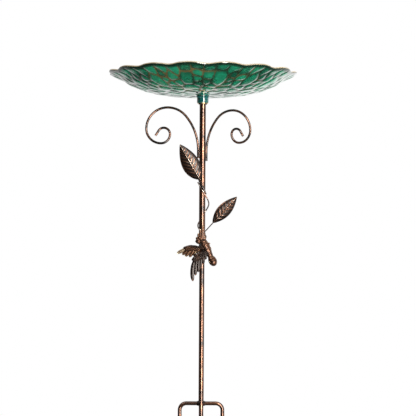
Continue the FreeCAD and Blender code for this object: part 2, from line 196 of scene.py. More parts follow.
def to_mesh(name, bm):
    mesh = bpy.data.meshes.new(name)
    bm.to_mesh(mesh)
    bm.free()
    return mesh


def smooth(value):
    """Eases 0..1 in and out."""
    value = min(1.0, max(0.0, value))
    return value * value * (3 - 2 * value)


def axes_between(base, tip, facing):
    """The turn and shift that lay a shape made along +X from base to tip, its top towards facing."""
    along = (tip - base).normalized()
    across = facing.cross(along).normalized()
    up = along.cross(across)
    turn = Matrix((along, across, up)).transposed().to_4x4()
    return Matrix.Translation(base) @ turn


def spin(bm, verts, axis, steps):
    """A closed surface of revolution from a row of vertices."""
    edges = [bm.edges.new(pair) for pair in zip(verts, verts[1:])]
    bmesh.ops.spin(
        bm,
        geom=[*verts, *edges],
        cent=(0, 0, 0),
        axis=axis,
        dvec=(0, 0, 0),
        angle=math.tau,
        steps=steps,
        use_merge=True,
        use_duplicate=False,
    )
    bmesh.ops.remove_doubles(bm, verts=bm.verts, dist=WELD_DISTANCE)
    bmesh.ops.recalc_face_normals(bm, faces=bm.faces)


def add_turned(bm, outline, steps):
    """A surface of revolution about X from (distance along X, radius) points in millimetres."""
    spin(bm, [bm.verts.new((x * MM, 0, radius * MM)) for x, radius in outline], (1, 0, 0), steps)


def add_blade(bm, shape, place, columns, rows, thickness, ridge):
    """A thin curved blade: shape(share along, -1..1 across) gives a point and how raised it is."""
    before = set(bm.verts)
    grid = bmesh.ops.create_grid(bm, x_segments=columns, y_segments=rows, size=1.0)["verts"]
    for vert in grid:
        point, raised = shape((vert.co.x + 1) / 2, vert.co.y)
        vert.co = point
        vert[ridge] = raised
    faces = list({face for vert in grid for face in vert.link_faces})
    bmesh.ops.recalc_face_normals(bm, faces=faces)
    if sum(face.normal.z for face in faces) < 0:
        bmesh.ops.reverse_faces(bm, faces=faces)
    bmesh.ops.solidify(bm, geom=faces, thickness=thickness)
    made = [vert for vert in bm.verts if vert not in before]
    bmesh.ops.transform(bm, matrix=place, verts=made)


# ---------------------------------------------------------------- material helpers


def first_node(tree, kind):
    return next(node for node in tree.nodes if node.type == kind)


def set_coat(surface, weight, roughness):
    surface.inputs["Coat Weight"].default_value = weight
    surface.inputs["Coat Roughness"].default_value = roughness


class Shader:
    """Adds nodes and links to a material or a node group in short lines."""

    def __init__(self, tree):
        self.tree = tree

    def add(self, kind, sockets=None, **settings):
        node = self.tree.nodes.new(kind)
        for key, value in settings.items():
            setattr(node, key, value)
        for key, value in (sockets or {}).items():
            self.put(node.inputs[key], value)
        return node

    def put(self, socket, value):
        if isinstance(value, bpy.types.NodeSocket):
            self.tree.links.new(value, socket)
        elif socket.type == "RGBA" and len(value) == 3:
            socket.default_value = (*value, 1.0)
        else:
            socket.default_value = value

    def noise(self, vector, scale, detail=4.0, roughness=0.55):
        return self.add(
            "ShaderNodeTexNoise",
            {"Vector": vector, "Scale": scale, "Detail": detail, "Roughness": roughness},
        ).outputs["Fac"]

    def stretch(self, vector, scale):
        return self.add("ShaderNodeMapping", {"Vector": vector, "Scale": scale}).outputs["Vector"]

    def remap(self, value, low, high, out_low=0.0, out_high=1.0):
        return self.add(
            "ShaderNodeMapRange",
            {"Value": value, "From Min": low, "From Max": high, "To Min": out_low, "To Max": out_high},
        ).outputs["Result"]

    def math(self, operation, first, second):
        return self.add("ShaderNodeMath", {0: first, 1: second}, operation=operation).outputs[0]

    def weighted(self, first, first_share, second, second_share):
        """The sum of two values, each times its share."""
        return self.math(
            "ADD", self.math("MULTIPLY", first, first_share), self.math("MULTIPLY", second, second_share)
        )

    def mix(self, factor, first, second):
        node = self.add("ShaderNodeMix", data_type="RGBA", clamp_factor=True)
        self.put(node.inputs[0], factor)
        self.put(node.inputs[6], first)
        self.put(node.inputs[7], second)
        return node.outputs[2]

    def attribute(self, name):
        return self.add("ShaderNodeAttribute", attribute_name=name).outputs["Fac"]

    def bump(self, height, distance, strength):
        return self.add(
            "ShaderNodeBump", {"Height": height, "Distance": distance, "Strength": strength}
        ).outputs["Normal"]


def new_group(name, inputs, outputs):
    """An empty shader group with named sockets. Returns its shader helper, input node and output node."""
    tree = bpy.data.node_groups.new(name, "ShaderNodeTree")
    for label, kind, value in inputs:
        socket = tree.interface.new_socket(label, in_out="INPUT", socket_type=kind)
        if value is not None:
            socket.default_value = value
    for label, kind in outputs:
        tree.interface.new_socket(label, in_out="OUTPUT", socket_type=kind)
    helper = Shader(tree)
    return helper, helper.add("NodeGroupInput").outputs, helper.add("NodeGroupOutput")


def aged_metal_group():
    """Antique finish: dark patina, copper where it is rubbed along the grain, gold on the highest spots."""
    name = "Aged metal"
    if name in bpy.data.node_groups:
        return bpy.data.node_groups[name]
    helper, given, made = new_group(
        name,
        [
            ("Vector", "NodeSocketVector", None),
            ("Grain", "NodeSocketVector", (1.0, 1.0, 0.06)),
            ("Dark", "NodeSocketColor", None),
            ("Copper", "NodeSocketColor", None),
            ("Gold", "NodeSocketColor", None),
            ("Rubbed", "NodeSocketFloat", 0.5),
            ("Raised", "NodeSocketFloat", 0.0),
            ("Lift", "NodeSocketFloat", 0.25),
            ("Satin", "NodeSocketFloat", 0.0),
        ],
        [
            ("Color", "NodeSocketColor"),
            ("Roughness", "NodeSocketFloat"),
            ("Metallic", "NodeSocketFloat"),
            ("Height", "NodeSocketFloat"),
        ],
    )
    grained = helper.add(
        "ShaderNodeVectorMath", {0: given["Vector"], 1: given["Grain"]}, operation="MULTIPLY"
    )
    streaks = helper.noise(grained.outputs[0], 650.0, 6.0, 0.7)
    clouds = helper.noise(given["Vector"], 70.0, 5.0, 0.6)
    pits = helper.noise(given["Vector"], 1400.0, 3.0, 0.6)
    blend = helper.weighted(streaks, 0.4, clouds, 0.6)
    shift = helper.math("SUBTRACT", given["Rubbed"], 0.5)
    level = helper.math("ADD", blend, shift)
    level = helper.math("ADD", level, helper.math("MULTIPLY", given["Raised"], given["Lift"]))
    copper = helper.remap(level, *COPPER_RANGE)
    gold = helper.remap(level, *GOLD_RANGE)
    shade = helper.mix(copper, given["Dark"], given["Copper"])
    shade = helper.mix(gold, shade, given["Gold"])
    speck = helper.remap(pits, *PIT_RANGE, 0.0, 0.25)
    shade = helper.mix(speck, shade, given["Dark"])
    helper.put(made.inputs["Color"], shade)
    rough = helper.remap(level, 0.35, 0.75, 0.2, 0.13)
    rough = helper.math("ADD", rough, given["Satin"])
    helper.put(made.inputs["Roughness"], helper.math("ADD", rough, helper.math("MULTIPLY", pits, 0.08)))
    metal = helper.math("ADD", 0.6, helper.math("MULTIPLY", copper, 0.37))
    helper.put(made.inputs["Metallic"], helper.math("SUBTRACT", metal, helper.math("MULTIPLY", gold, 0.3)))
    helper.put(made.inputs["Height"], helper.weighted(streaks, 0.6, pits, 0.4))
    return helper.tree


def fine_wear_group():
    """Dust and fine scuffs for smooth coated surfaces."""
    name = "Fine wear"
    if name in bpy.data.node_groups:
        return bpy.data.node_groups[name]
    helper, given, made = new_group(
        name,
        [
            ("Vector", "NodeSocketVector", None),
            ("Color", "NodeSocketColor", None),
            ("Base", "NodeSocketFloat", 0.2),
        ],
        [
            ("Color", "NodeSocketColor"),
            ("Roughness", "NodeSocketFloat"),
            ("Height", "NodeSocketFloat"),
        ],
    )
    clouds = helper.noise(given["Vector"], 110.0, 4.0)
    scuffs = helper.noise(helper.stretch(given["Vector"], (1.0, 3.0, 8.0)), 900.0, 3.0)
    dust = helper.remap(clouds, 0.45, 0.8, 0.0, 0.16)
    helper.put(made.inputs["Color"], helper.mix(dust, given["Color"], (0.55, 0.5, 0.42)))
    rough = helper.math("ADD", given["Base"], helper.remap(scuffs, 0.45, 0.75, 0.0, 0.18))
    helper.put(made.inputs["Roughness"], rough)
    helper.put(made.inputs["Height"], scuffs)
    return helper.tree


def new_material(name):
    """A material with its shader helper, its surface node and the object's own coordinates."""
    material = bpy.data.materials.new(name)
    material.use_nodes = True
    helper = Shader(material.node_tree)
    surface = first_node(material.node_tree, "BSDF_PRINCIPLED")
    place = helper.add("ShaderNodeTexCoord").outputs["Object"]
    return material, helper, surface, place


def aged_metal(
    name, rubbed, grain, raised=None, bump=0.03, lift=0.25, high=None, satin=0.0, coat=0.5
):
    """A material with the aged metal finish. raised names the attribute that marks what is rubbed."""
    palette = colours()
    material, helper, surface, place = new_material(name)
    group = helper.add("ShaderNodeGroup", node_tree=aged_metal_group())
    helper.put(group.inputs["Vector"], place)
    helper.put(group.inputs["Grain"], grain)
    helper.put(group.inputs["Dark"], tuple(palette.bronze_dark))
    helper.put(group.inputs["Copper"], tuple(palette.bronze_copper))
    helper.put(group.inputs["Gold"], tuple(high or palette.bronze_gold))
    helper.put(group.inputs["Lift"], lift)
    helper.put(group.inputs["Satin"], satin)
    helper.put(group.inputs["Rubbed"], rubbed)
    if raised:
        helper.put(group.inputs["Raised"], helper.attribute(raised))
    helper.put(surface.inputs["Base Color"], group.outputs["Color"])
    helper.put(surface.inputs["Roughness"], group.outputs["Roughness"])
    helper.put(surface.inputs["Metallic"], group.outputs["Metallic"])
    helper.put(surface.inputs["Normal"], helper.bump(group.outputs["Height"], bump * MM, 0.6))
    set_coat(surface, coat, METAL_COAT_ROUGHNESS)
    return material


def worn_coat(name, shade, base, metallic=0.0):
    """A material for smooth coated, plated, rubber or turned surfaces. base is its lowest roughness."""
    material, helper, surface, place = new_material(name)
    group = helper.add("ShaderNodeGroup", node_tree=fine_wear_group())
    helper.put(group.inputs["Vector"], place)
    helper.put(group.inputs["Color"], tuple(shade))
    helper.put(group.inputs["Base"], base)
    helper.put(surface.inputs["Base Color"], group.outputs["Color"])
    helper.put(surface.inputs["Roughness"], group.outputs["Roughness"])
    helper.put(surface.inputs["Normal"], helper.bump(group.outputs["Height"], 0.03 * MM, 0.5))
    surface.inputs["Metallic"].default_value = metallic
    return material


def glass_material():
    """Coated glass: mottled green cells, brown grooves, a painted shade band along the rim and a rubbed
    gold edge, under a clear gloss.
    """
    palette = colours()
    material, helper, surface, place = new_material("coated_glass")
    rim = helper.attribute("rim")
    mottle = helper.noise(place, 130.0, 5.0, 0.65)
    fine = helper.noise(place, 700.0, 3.0, 0.6)
    cloud = helper.noise(place, 22.0, 3.0, 0.5)
    level = helper.weighted(mottle, 0.7, helper.attribute("tone"), 0.45)
    level = helper.math("ADD", level, helper.math("MULTIPLY", cloud, 0.35))
    level = helper.math("ADD", level, helper.remap(helper.attribute("dome"), 0.0, 1.0, -0.25, 0.1))
    thin = helper.remap(level, 0.42, 1.05)
    green = helper.mix(thin, tuple(palette.glass_deep), tuple(palette.glass_light))
    stain = helper.math("MULTIPLY", helper.remap(fine, 0.5, 0.7), helper.remap(cloud, 0.5, 0.65))
    green = helper.mix(helper.math("MULTIPLY", stain, 0.5), green, tuple(palette.groove_brown))
    brown = helper.mix(helper.remap(cloud, 0.42, 0.6), (0.012, 0.026, 0.013), tuple(palette.groove_brown))
    shade = helper.mix(helper.math("MULTIPLY", helper.attribute("line"), 0.9), green, brown)
    # Painted shade: the lip mark darkens the glass to a near black green in a band along the rim.
    shade = helper.mix(helper.attribute("lip"), shade, (0.004, 0.022, 0.012))
    rubbed = helper.math("MULTIPLY", rim, helper.remap(fine, 0.35, 0.55, 0.8, 1.0))
    shade = helper.mix(rubbed, shade, tuple(palette.rim_gold))
    helper.put(surface.inputs["Base Color"], shade)
    rough = helper.remap(fine, 0.3, 0.7, 0.07, 0.18)
    helper.put(surface.inputs["Roughness"], helper.math("ADD", rough, helper.math("MULTIPLY", rim, 0.25)))
    helper.put(surface.inputs["Normal"], helper.bump(mottle, 0.25 * MM, 0.35))
    set_coat(surface, 1.0, 0.06)
    return material


# ---------------------------------------------------------------- glass dish


def bowl_rise(share):
    """Height of the dish's underside above its foot, at a share of the rim radius."""
    rise = DISH_RISE * (1 - math.cos(math.pi / 2 * share**BOWL_POWER))
    if share > LIP_START:
        rise += LIP_BUMP * math.sin(math.pi * (share - LIP_START) / (1 - LIP_START)) ** 2
    return rise


def bowl_slope(share):
    step = 0.001
    if share <= step:
        return 0.0
    return math.atan2(bowl_rise(share) - bowl_rise(share - step), step * DISH_RADIUS)


def bowl_point(share, top):
    """Radius and height of the underside or the inside, in millimetres."""
    radius = share * DISH_RADIUS
    height = LIP_UNDER - DISH_RISE + bowl_rise(share)
    if top:
        slope = bowl_slope(share)
        thick = GLASS + (RIM_GLASS - GLASS) * share**4
        radius -= thick * math.sin(slope)
        height += thick * math.cos(slope)
    return radius, height


def dish_outline():
    """(radius, height, side) from the middle of the underside round the lip to the middle of the inside."""
    points = [(*bowl_point(k / UNDER_STEPS, False), 0.0) for k in range(UNDER_STEPS + 1)]
    low = Vector(points[-1][:2])
    high = Vector(bowl_point(1.0, True))
    middle = (low + high) / 2
    out = Vector((low.y - high.y, high.x - low.x)).normalized()
    if out.x < 0:
        out.negate()
    half = (high - low) / 2
    for k in range(1, LIP_STEPS):
        angle = math.pi * k / LIP_STEPS
        spot = middle - half * math.cos(angle) + out * (half.length * math.sin(angle))
        points.append((spot.x, spot.y, 0.5 if k > LIP_STEPS / 3 else 0.3))
    points.extend((*bowl_point(1 - k / INSIDE_STEPS, True), 1.0) for k in range(INSIDE_STEPS + 1))
    return points


ROUND_CELLS = 40.0  # radius within which the cells are round
LONG_CELLS = 85.0  # radius beyond which they are longest
CELL_SEED = 11
CELL_RINGS = (  # number of cells, radius, extra size, turn as a share of a cell, jitter, unevenness
    (46, 130.5, 1.6, 0.1, 2.2, 1.6),
    (14, 104.0, 3.6, 0.03, 1.5, 0.8),
    (14, 118.0, 0.2, 0.36, 1.6, 0.9),
    (14, 103.0, 0.2, 0.36, 1.6, 0.9),
    (14, 90.0, 0.2, 0.36, 1.6, 0.9),
    (14, 111.0, 0.2, 0.66, 1.6, 0.9),
    (14, 96.5, 0.2, 0.66, 1.6, 0.9),
    (10, 73.0, 3.0, 0.2, 1.6, 0.8),
    (10, 81.0, 0.0, 0.7, 1.5, 1.0),
    (10, 67.0, 0.0, 0.62, 1.5, 1.0),
    (10, 60.0, 0.4, 0.2, 1.5, 1.0),
    (8, 46.0, 2.4, 0.5, 1.4, 1.0),
    (8, 40.0, 0.0, 0.0, 1.2, 1.0),
    (7, 23.0, 1.0, 0.3, 1.0, 1.0),
)
NEAREST_CELLS = 4
POINTS_AT_ONCE = 8000


def stretched(radius):
    """Distance from the middle, counted so that the outer cells come out long and the inner ones round."""
    between = max(0.0, min(radius, LONG_CELLS) - ROUND_CELLS)
    beyond = max(0.0, radius - LONG_CELLS)
    return min(radius, ROUND_CELLS) + between / 1.3 + beyond / 1.75


def cell_sites():
    """Centres of the embossed cells as (angle, stretched radius, extra size), and a tone for each."""
    rng = random.Random(CELL_SEED)
    sites = []
    for count, radius, size, turn, jitter, uneven in CELL_RINGS:
        for k in range(count):
            around = radius + rng.uniform(-jitter, jitter) * 1.3
            angle = math.tau * (k + turn) / count + rng.uniform(-jitter, jitter) / radius
            sites.append((angle, stretched(around), size + rng.uniform(-uneven, uneven)))
    tones = [rng.random() for _ in sites]
    return np.array(sites), np.array(tones)


def cell_field(radius, angle):
    """For arrays of points: the distance to the nearest groove in mm, and the cell's tone."""
    sites, tones = cell_sites()
    edge = np.empty(len(radius))
    tone = np.empty(len(radius))
    long = np.array([stretched(value) for value in radius])
    for start in range(0, len(radius), POINTS_AT_ONCE):
        part = slice(start, start + POINTS_AT_ONCE)
        turn = angle[part, None] - sites[None, :, 0]
        turn = (turn + math.pi) % math.tau - math.pi
        gap = np.hypot(turn * radius[part, None], long[part, None] - sites[None, :, 1])
        gap -= sites[None, :, 2]
        near = np.partition(gap, NEAREST_CELLS - 1, axis=1)[:, :NEAREST_CELLS]
        near.sort(axis=1)
        apart = (near[:, 1:] - near[:, :1]) / 2
        edge[part] = -CORNER * np.log(np.exp(-apart / CORNER).sum(axis=1))
        tone[part] = tones[np.argmin(gap, axis=1)]
    return edge, tone


def shape_dish(mesh):
    """Waves the spun bowl into scallops, raises its cells and stores what the finish needs."""
    count = len(mesh.vertices)
    places = np.empty(count * 3)
    mesh.vertices.foreach_get("co", places)
    x, y, z = places.reshape(-1, 3).T / MM
    side = np.empty(count, dtype=np.float32)
    mesh.attributes["side"].data.foreach_get("value", side)
    radius = np.hypot(x, y)
    angle = np.arctan2(y, x)
    share = np.clip(radius / DISH_RADIUS, 0, 1)
    grow = np.clip((share - SCALLOP_START) / (1 - SCALLOP_START), 0, 1)
    wave = grow * grow * (3 - 2 * grow)
    turn = (angle - SCALLOP_TURN) * sizes().scallops
    lobe = np.cos(turn) - 0.15 * np.cos(2 * turn)
    edge, tone = cell_field(radius, angle)
    slope = np.array([bowl_slope(value) for value in share])
    groove = sizes().groove / MM
    pillow = 1 - np.exp(-((np.maximum(edge, 0) / (PILLOW * groove)) ** 2))
    near_pad = np.clip((radius - PAD_RADIUS - 1) / 3, 0, 1)
    near_lip = np.clip((DISH_RADIUS - 1.5 - radius) / 4, 0, 1)
    ruffle = 0.12 * np.sin(angle * 37 + 3) * np.sin(angle * 11) * wave
    facing = np.where(side < 0.25, 1.0, -0.12)
    relief = sizes().cell_relief / MM * (pillow - 0.6) * near_pad * near_lip * facing
    radius = radius + SCALLOP_OUT * wave * lobe + relief * np.sin(slope)
    z = z + (SCALLOP_UP * lobe + ruffle) * wave - relief * np.cos(slope)
    places = np.stack([radius * np.cos(angle), radius * np.sin(angle), z], axis=1) * MM
    mesh.vertices.foreach_set("co", places.astype(np.float32).ravel())
    line = np.clip(1.6 - edge / groove, 0, 1) * near_pad * near_lip
    rim = np.where((side > 0.4) & (side < 0.75), 1.0, 0.0)
    # lip is painted shade: a darker band along the rim, full on the underside and the lip, weaker on the
    # inside.
    lip = np.clip((share - 0.955) / 0.03, 0, 1) * np.where(side < 0.75, 1.0, 0.6)
    dome = np.clip(edge / 4, 0, 1) * near_pad
    marks = {"line": line, "tone": tone, "rim": rim, "lip": lip, "dome": dome}
    for name, values in marks.items():
        layer = mesh.attributes.new(name, "FLOAT", "POINT")
        layer.data.foreach_set("value", values.astype(np.float32))
    mesh.update()


class FEEDER_OT_dish(bpy.types.Operator):
    """Spin the glass dish, scallop its rim and emboss its cells"""

    bl_idname = "feeder.dish"
    bl_label = "Glass dish"

    def execute(self, context):
        bm = bmesh.new()
        layer = bm.verts.layers.float.new("side")
        verts = []
        for radius, height, side in dish_outline():
            vert = bm.verts.new((radius * MM, 0, height * MM))
            vert[layer] = side
            verts.append(vert)
        spin(bm, verts, (0, 0, 1), DISH_STEPS)
        mesh = to_mesh("glass_dish", bm)
        shape_dish(mesh)
        make_piece("glass_dish", mesh, glass_material(), "dish", ["dish"])
        return {"FINISHED"}


# ---------------------------------------------------------------- leaves


LEAF_EDGE = 0.6  # least half width, in millimetres
LEAF_ARCH = 0.22  # height of the arch across a leaf, as a share of its half width
LEAF_THICKNESS = 1.1
VEIN_SPACING = 6.4
VEIN_SLANT = 0.95
LEAF_GRID = (120, 56)


def leaf_half(share, widest, skew, fullness):
    """Half width of one side of a pointed leaf, at a share of its length from the base."""
    if share <= 0 or share >= 1:
        return LEAF_EDGE
    return max(LEAF_EDGE, widest * math.sin(math.pi * share**skew) ** fullness)


def add_leaf(name, base, tip, facing, sides, curl, material):
    """A stamped leaf with a raised midrib, veins that sweep to the tip and quilted panels between."""
    length = (tip - base).length
    rib = sizes().vein_height / MM

    def shape(share, across):
        side = sides[0] if across < 0 else sides[1]
        half = leaf_half(share, *side)
        x = share * length
        y = across * half
        crown = LEAF_ARCH * (leaf_half(share, *sides[0]) + leaf_half(share, *sides[1])) / 2
        z = curl * share * share + crown * (1 - across * across)
        fade = math.sin(math.pi * min(1.0, share * 1.02)) ** 0.5 if 0 < share < 0.98 else 0.0
        middle = math.exp(-((y / 0.75) ** 2))
        sweep = (x - abs(y) * VEIN_SLANT) / VEIN_SPACING
        phase = sweep - math.floor(sweep)
        vein = math.exp(-(((phase - 0.5) / 0.14) ** 2)) * (1 - abs(across) ** 3)
        quilt = math.sin(math.pi * ((phase + 0.5) % 1.0)) * (1 - across * across)
        raised = max(middle, 0.8 * vein * fade)
        z += rib * (middle * (0.4 + 0.6 * fade) + 0.5 * vein * fade) + 0.35 * quilt * fade
        z -= 0.25 * abs(across) ** 6
        worn_edge = 0.75 * smooth((across - 0.78) * 6) * fade
        return Vector((x, y, z)) * MM, max(raised, worn_edge)

    bm = bmesh.new()
    ridge = bm.verts.layers.float.new("ridge")
    place = axes_between(base * MM, tip * MM, facing)
    add_blade(bm, shape, place, *LEAF_GRID, LEAF_THICKNESS * MM, ridge)
    mesh = to_mesh(name, bm)
    make_piece(name, mesh, material, "upper_pole", [name.replace("stamped_", "")])


class FEEDER_OT_leaves(bpy.types.Operator):
    """Press the two leaves with their veins"""

    bl_idname = "feeder.leaves"
    bl_label = "Leaves"

    def execute(self, context):
        look = {**CAST_LOOK, "high": LEAF_SILVER, "coat": 0.2}
        dark = aged_metal("leaf_finish_dark", 0.33, lift=0.42, **look)
        warm = aged_metal("leaf_finish_warm", 0.34, lift=0.33, **look)
        add_leaf(
            "stamped_leaf_left",
            Vector((-3.6, -9.0, 339.0)),
            Vector((-33.5, -14.0, 391.0)),
            Vector((-0.15, -1, 0.1)),
            ((12.8, 0.85, 0.8), (14.2, 0.78, 0.85)),
            3.0,
            dark,
        )
        add_leaf(
            "stamped_leaf_right",
            Vector((15.8, -9.5, 274.0)),
            Vector((52.0, -14.0, 313.0)),
            Vector((0.12, -1, -0.15)),
            ((9.8, 0.95, 0.85), (10.6, 0.9, 0.85)),
            -3.0,
            warm,
        )
        return {"FINISHED"}


# ---------------------------------------------------------------- bird


BIRD_TAIL = Vector((0.0, -8.2, 250.0))
BIRD_HEAD = Vector((16.0, -14.5, 218.0))
HEAD_HALF = (8.3, 6.3)  # half length and radius of the head
BODY_STATIONS = (  # share of the way from the rump to the middle of the head, radius
    (0.0, 3.0),
    (0.12, 5.6),
    (0.3, 6.7),
    (0.5, 6.1),
    (0.7, 4.7),
    (0.83, 4.1),
    (1.0, 4.4),
)
RUMP = 2.0  # how far the body runs on behind its first station
BODY_POINTS = 110
BODY_SPIN = 72
SCALE_ROWS = 17
BODY_TUFTS = (  # root and tip as (x, z)
    ((7.4, 242.6), (12.4, 244.0)),
    ((9.1, 236.4), (14.0, 237.4)),
    ((10.1, 231.4), (14.9, 231.6)),
)
BEAK_LENGTH = 17.5
BEAK_POINTS = 24
FEATHER_GRID = (26, 8)
SHOULDER_LEVEL = 232  # height from which the lower wing's depth is counted


def add_feather(
    bm, ridge, root, tip, width, bow=0.0, cup=0.5, facing=FRONT, thickness=None, rubbed=0.0
):
    """A feather with a shaft, slanted barbs and a rounded tip, in millimetres."""
    root = Vector(root)
    tip = Vector(tip)
    length = (tip - root).length

    def shape(share, across):
        taper = max(0.0, 1 - max(0.0, (share - 0.72) / 0.28) ** 2.2)
        full = min(1.0, 0.55 + share * 1.3) * math.sqrt(taper)
        half = max(0.12, width / 2 * full)
        y = across * half + bow * math.sin(math.pi * share)
        shaft = math.exp(-((across * half / 0.35) ** 2))
        barbs = 0.5 + 0.5 * math.sin((share * length - abs(across) * half * 1.1) * 5.2)
        z = cup * (1 - across * across) + 0.35 * shaft + 0.12 * barbs * abs(across)
        z -= 0.8 * share * share
        worn_tip = smooth((share - 0.86) * 7)
        worn_edge = smooth((abs(across) - 0.72) * 5) * (0.3 + 0.5 * share)
        raised = rubbed + max(0.45 * shaft, 0.15 * barbs, 0.9 * worn_tip, worn_edge)
        return Vector((share * length, y, z)) * MM, raised

    place = axes_between(root * MM, tip * MM, facing)
    add_blade(bm, shape, place, *FEATHER_GRID, thickness or sizes().feather, ridge)


def bird_radius(share):
    """Radius of the body from the rump (0) to the middle of the head (1), in millimetres."""
    for (s0, r0), (s1, r1) in zip(BODY_STATIONS, BODY_STATIONS[1:]):
        if share <= s1:
            return r0 + (r1 - r0) * smooth((share - s0) / (s1 - s0))
    return BODY_STATIONS[-1][1]


def add_body(bm, ridge, band):
    """Body and head in one, overlapped by rows of small feathers, with dark bands at the eyes."""
    reach = (BIRD_HEAD - BIRD_TAIL).length
    end = reach + HEAD_HALF[0]
    outline = [(-RUMP, 0.0)]
    for k in range(BODY_POINTS):
        x = -1.9 + (end + 1.85) * k / (BODY_POINTS - 1)
        share = x / reach
        rounding = math.sqrt(min(1.0, max(0.0, (x + RUMP) / RUMP)))
        radius = bird_radius(max(0.0, share)) * rounding
        inside = 1 - ((x - reach) / HEAD_HALF[0]) ** 2
        head = HEAD_HALF[1] * math.sqrt(max(0.0, inside))
        if x < reach:
            radius = ((radius**6 + head**6) / (1 + 0.25 * smooth(inside * 2))) ** (1 / 6)
        else:
            radius = max(head, 0.05)
        outline.append((x, radius))
    outline.append((end + 0.02, 0.0))
    add_turned(bm, outline, BODY_SPIN)
    for vert in bm.verts:
        x = vert.co.x / MM
        radius = math.hypot(vert.co.y, vert.co.z) / MM
        if radius < 0.4:
            continue
        angle = math.atan2(vert.co.z, vert.co.y)
        row = (x + RUMP) / reach * SCALE_ROWS
        number = math.floor(row)
        beads = max(6, round(radius * 2.2))
        lobe = abs(math.sin(beads * angle / 2 + (number % 2) * math.pi / 2))
        phase = (row - number) + 0.3 * (1 - lobe)
        lift = (1 - phase % 1.0) * (0.35 + 0.65 * lobe)
        soft = 0.45 * (1 - smooth((x - reach + 9) / 4))
        grow = 1 + soft * (lift - 0.5) / max(radius, 2.0)
        vert.co.y *= grow
        vert.co.z *= grow
        vert[ridge] = 0.15 + 0.55 * lift if x < reach - 6 else 0.62
        bands = (math.exp(-(((x - reach - shift) / 0.9) ** 2)) for shift in (-2.2, 1.8))
        vert[band] = 0.9 * sum(bands)
    place = axes_between(BIRD_TAIL * MM, BIRD_HEAD * MM, FRONT)
    bmesh.ops.transform(bm, matrix=place, verts=bm.verts)


def add_ball(bm, ridge, spot, radius, raised):
    made = bmesh.ops.create_uvsphere(bm, u_segments=20, v_segments=12, radius=radius * MM)["verts"]
    for vert in made:
        vert[ridge] = raised
    bmesh.ops.translate(bm, verts=made, vec=Vector(spot) * MM)


def bird_finish():
    """Aged copper with a dark band across the eyes."""
    material = aged_metal("bird_finish", 0.32, lift=0.45, coat=0.15, **CAST_LOOK)
    helper = Shader(material.node_tree)
    surface = first_node(material.node_tree, "BSDF_PRINCIPLED")
    shade = surface.inputs["Base Color"].links[0].from_socket
    banded = helper.mix(helper.attribute("band"), shade, (0.008, 0.006, 0.005))
    helper.put(surface.inputs["Base Color"], banded)
    return material


